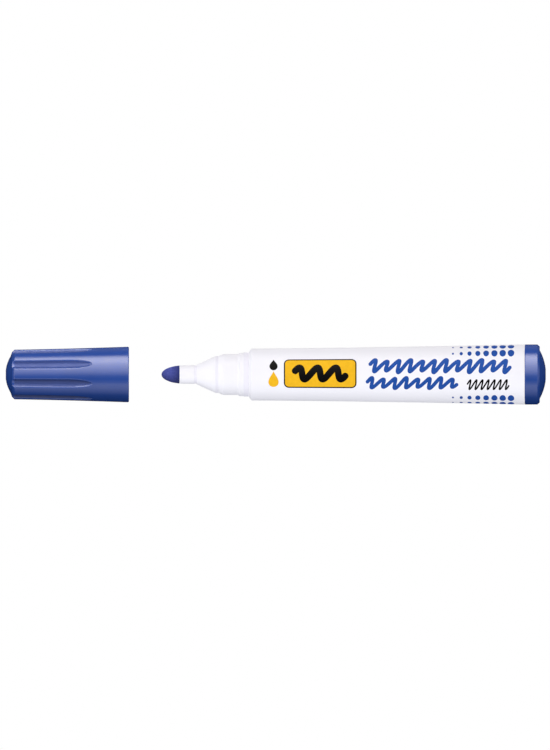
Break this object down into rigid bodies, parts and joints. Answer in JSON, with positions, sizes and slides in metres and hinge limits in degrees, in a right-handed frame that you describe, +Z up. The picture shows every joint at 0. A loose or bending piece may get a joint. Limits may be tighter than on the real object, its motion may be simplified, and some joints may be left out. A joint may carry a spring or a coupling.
{
  "type": "felt tip marker",
  "caption": "Round felt tip marker for whiteboards with a bullet nib, a flared barrel, a domed end plug and a fluted push-on cap, lying with the cap off.",
  "frame": {"origin": "on the surface that the marker lies on, under the middle of the whole length with the cap off", "axes": "+X along the axis from the cap to the end plug, so the nib points to -X; +Z up, away from the surface; the printed side faces -Y"},
  "size_m": [0.1528, 0.017, 0.017],
  "materials": {
    "white_shell": "satin white moulded polypropylene",
    "blue_shell": "glossy royal blue moulded polypropylene",
    "natural_plastic": "milky unpigmented polypropylene",
    "nib_felt": "bonded fibre soaked with blue ink",
    "ink_fibre": "lengthwise fibre bundle soaked with blue ink",
    "clear_film": "thin clear film"
  },
  "bodies": {
    "marker": {"barrel": "white_shell", "tip_holder": "white_shell", "nib": "nib_felt", "reservoir_core": "ink_fibre", "reservoir_sleeve": "clear_film", "end_plug": "blue_shell"},
    "cap": {"cap_shell": "blue_shell", "inner_cap": "natural_plastic"}
  },
  "joints": [
    {"name": "cap_slide", "type": "slide", "parent": "marker", "child": "cap", "axis": [1, 0, 0], "range_m": [0, 0.034]}
  ]
}
